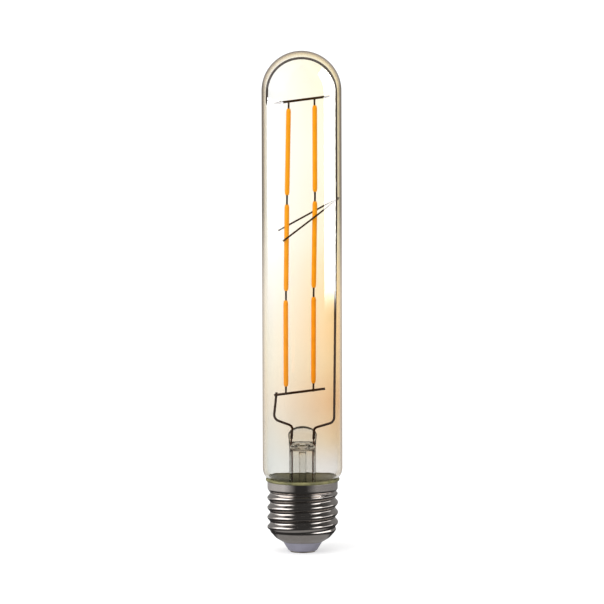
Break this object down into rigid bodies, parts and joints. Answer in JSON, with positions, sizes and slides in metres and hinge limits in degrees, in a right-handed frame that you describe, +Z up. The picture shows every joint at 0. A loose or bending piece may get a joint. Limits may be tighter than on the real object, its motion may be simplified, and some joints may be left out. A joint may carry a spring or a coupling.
{
  "type": "tubular light bulb",
  "caption": "Long glass tube lamp with a domed top, filament rods in two columns on a bent wire frame, and a round-thread screw cap.",
  "frame": {"origin": "middle of the centre contact's outer face, the lowest point of the bulb held cap down", "axes": "+Z up the tube from the cap to the dome, the wire frame lies in the XZ plane, -Y faces the camera of the picture"},
  "size_m": [0.0295, 0.0294, 0.186],
  "materials": {
    "amber_glass": "clear glass with a thin amber coating that fades out above the cap",
    "board": "solder mask",
    "capacitor_sleeve": "shrunk sleeve",
    "cement": "matt olive basing cement",
    "contact_metal": "tinned brass",
    "copper": "bare copper wire",
    "guard_steel": "dull drawn wire",
    "insulator_glass": "smooth lavender grey",
    "nickel_plate": "bright nickel plating",
    "nickel_wire": "dull drawn wire",
    "package": "moulded black resin",
    "phosphor": "orange-yellow phosphor in silicone",
    "resistor_coat": "lacquered resistor with tinned leads",
    "solder": "bright solder",
    "stem_glass": "clear glass",
    "terminal_metal": "dull strip"
  },
  "bodies": {
    "root": {"bottom_bar": "nickel_wire", "bridge_rectifier": "package", "cap_shell": "nickel_plate", "cement": "cement", "centre_contact": "contact_metal", "contact_solder": "solder", "driver_board": "board", "driver_chip": "package", "exhaust_tube": "stem_glass", "filament_left_1": "phosphor", "filament_left_1_bottom_terminal": "terminal_metal", "filament_left_1_top_terminal": "terminal_metal", "filament_left_2": "phosphor", "filament_left_2_bottom_terminal": "terminal_metal", "filament_left_2_top_terminal": "terminal_metal", "filament_left_3": "phosphor", "filament_left_3_bottom_terminal": "terminal_metal", "filament_left_3_top_terminal": "terminal_metal", "filament_right_1": "phosphor", "filament_right_1_bottom_terminal": "terminal_metal", "filament_right_1_top_terminal": "terminal_metal", "filament_right_2": "phosphor", "filament_right_2_bottom_terminal": "terminal_metal", "filament_right_2_top_terminal": "terminal_metal", "filament_right_3": "phosphor", "filament_right_3_bottom_terminal": "terminal_metal", "filament_right_3_top_terminal": "terminal_metal", "frame_wire": "nickel_wire", "fusible_resistor": "resistor_coat", "glass_envelope": "amber_glass", "guard_wire": "guard_steel", "insulator": "insulator_glass", "left_lead": "nickel_wire", "lower_lead_left": "copper", "lower_lead_right": "copper", "neutral_wire": "copper", "sense_resistor": "package", "side_solder": "solder", "smoothing_capacitor": "capacitor_sleeve", "stem": "stem_glass"}
  },
  "joints": []
}
